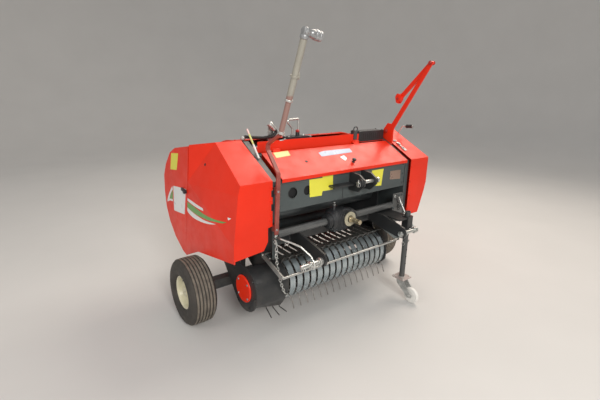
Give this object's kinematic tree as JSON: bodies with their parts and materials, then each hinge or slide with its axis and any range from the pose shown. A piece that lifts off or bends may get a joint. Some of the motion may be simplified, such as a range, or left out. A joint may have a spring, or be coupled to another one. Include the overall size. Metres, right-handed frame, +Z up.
{
  "type": "round baler",
  "caption": "Compact red three-point round baler with pickup reel, roller chamber, lifting tailgate, two wheels and a parking leg.",
  "frame": {"origin": "middle of the footprint on the ground, between the wheels", "axes": "+Z up, -Y towards the tractor, +X towards the side with the parking leg"},
  "size_m": [2.088, 1.4464, 1.9318],
  "materials": {
    "red_paint": "gloss",
    "frame_paint": "satin",
    "roller_steel": "satin",
    "plated_steel": "satin",
    "galvanised": "matte",
    "black_casting": "satin",
    "cream_plastic": "matte",
    "cream_paint": "satin",
    "tyre": "matte",
    "tine_steel": "satin",
    "chromed": "polished",
    "shaft_paint": "satin",
    "hose_rubber": "matte",
    "white_paint": "satin"
  },
  "bodies": {
    "tailgate": {"tailgate_walls": "red_paint", "tailgate_rollers": "roller_steel", "tailgate_skin": "red_paint"},
    "cylinder_left": {"cylinder_barrel_left": "black_casting"},
    "cylinder_right": {"cylinder_barrel_right": "black_casting"},
    "rod_left": {"cylinder_rod_left": "chromed"},
    "rod_right": {"cylinder_rod_right": "chromed"},
    "left_door": {"left_rear_door": "red_paint"},
    "right_side": {"right_cover": "red_paint", "cover_handle": "plated_steel"},
    "lid": {"top_lid": "red_paint"},
    "wheel_left": {"tyre_left": "tyre", "rim_left": "cream_paint"},
    "wheel_right": {"tyre_right": "tyre", "rim_right": "cream_paint"},
    "drive": {"input_shaft": "plated_steel"},
    "reel": {"pickup_reel": "tine_steel"},
    "leg": {"leg_tube": "galvanised"},
    "caster": {"caster_fork": "galvanised"},
    "caster_roll": {"caster_wheel": "cream_plastic"},
    "crop_guard": {"wind_guard": "plated_steel"},
    "frame": {"side_frames": "frame_paint", "front_beam": "frame_paint", "chamber_walls": "frame_paint", "front_rollers": "roller_steel", "pivot_pins": "plated_steel", "axle": "frame_paint", "hitch_frame": "frame_paint", "hitch_pins": "plated_steel", "top_link_bracket": "frame_paint", "drive_tube": "frame_paint", "gearbox": "black_casting", "drive_guard": "cream_plastic", "leg_sleeve": "frame_paint", "pickup_bands": "plated_steel", "pickup_side_plates": "frame_paint", "pickup_guard": "frame_paint", "pickup_cap": "red_paint", "left_front_cover": "red_paint", "cover_rails": "frame_paint", "twine_box": "red_paint", "control_box": "black_casting", "shaft_carrier": "red_paint", "stowed_shaft": "shaft_paint", "shaft_yoke": "plated_steel", "support_arm": "red_paint", "hydraulic_valve": "black_casting", "valve_pipe": "plated_steel", "hydraulic_hose": "hose_rubber", "hose_coupler": "plated_steel", "lifting_eye": "frame_paint", "indicator_rod": "white_paint", "stay_bars": "plated_steel", "check_chain": "plated_steel"}
  },
  "joints": [
    {"name": "tailgate_swing", "type": "hinge", "parent": "frame", "child": "tailgate", "pos_m": [0, 0.11325, 1.2], "axis": [1, 0, 0], "range_deg": [0, 65]},
    {"name": "cylinder_left_swing", "type": "hinge", "parent": "frame", "child": "cylinder_left", "pos_m": [-0.64, 0.01325, 0.6], "axis": [1, 0, 0], "range_deg": [0, 8.89]},
    {"name": "cylinder_right_swing", "type": "hinge", "parent": "frame", "child": "cylinder_right", "pos_m": [0.64, 0.01325, 0.6], "axis": [1, 0, 0], "range_deg": [0, 8.89]},
    {"name": "rod_left_slide", "type": "slide", "parent": "cylinder_left", "child": "rod_left", "axis": [0, 0.5526, 0.8334], "range_m": [0, 0.2405]},
    {"name": "rod_right_slide", "type": "slide", "parent": "cylinder_right", "child": "rod_right", "axis": [0, 0.5526, 0.8334], "range_m": [0, 0.2405]},
    {"name": "left_door_swing", "type": "hinge", "parent": "frame", "child": "left_door", "pos_m": [-0.846, 0.68525, 0.8], "axis": [0, 0, -1], "range_deg": [0, 85]},
    {"name": "right_side_swing", "type": "hinge", "parent": "frame", "child": "right_side", "pos_m": [0.889, 0.68525, 0.8], "axis": [0, 0, 1], "range_deg": [0, 70]},
    {"name": "lid_swing", "type": "hinge", "parent": "frame", "child": "lid", "pos_m": [0, -0.13675, 1.226], "axis": [-1, 0, 0], "range_deg": [0, 60]},
    {"name": "wheel_left_roll", "type": "hinge", "parent": "frame", "child": "wheel_left", "pos_m": [-0.9515, 0.12325, 0.236], "axis": [1, 0, 0], "continuous": true},
    {"name": "wheel_right_roll", "type": "hinge", "parent": "frame", "child": "wheel_right", "pos_m": [0.9515, 0.12325, 0.236], "axis": [1, 0, 0], "continuous": true},
    {"name": "drive_spin", "type": "hinge", "parent": "frame", "child": "drive", "pos_m": [0, -0.38675, 0.74], "axis": [0, 1, 0], "continuous": true},
    {"name": "reel_spin", "type": "hinge", "parent": "frame", "child": "reel", "pos_m": [0, -0.22675, 0.335], "axis": [1, 0, 0], "continuous": true},
    {"name": "leg_slide", "type": "slide", "parent": "frame", "child": "leg", "axis": [0, 0, 1], "range_m": [0, 0.25]},
    {"name": "caster_swivel", "type": "hinge", "parent": "leg", "child": "caster", "pos_m": [0.52, -0.55675, 0.165], "axis": [0, 0, 1], "continuous": true},
    {"name": "caster_wheel_roll", "type": "hinge", "parent": "caster", "child": "caster_roll", "pos_m": [0.52, -0.66075, 0.0625], "axis": [1, 0, 0], "continuous": true},
    {"name": "crop_guard_swing", "type": "hinge", "parent": "frame", "child": "crop_guard", "pos_m": [0, -0.29175, 0.572], "axis": [-1, 0, 0], "range_deg": [-8, 10]}
  ],
  "couplings": [
    {"joint": "cylinder_left_swing", "follows": "tailgate_swing", "ratio": 0.12908},
    {"joint": "cylinder_right_swing", "follows": "tailgate_swing", "ratio": 0.12908},
    {"joint": "rod_left_slide", "follows": "tailgate_swing", "m_per_rad": 0.21107},
    {"joint": "rod_right_slide", "follows": "tailgate_swing", "m_per_rad": 0.21107}
  ]
}
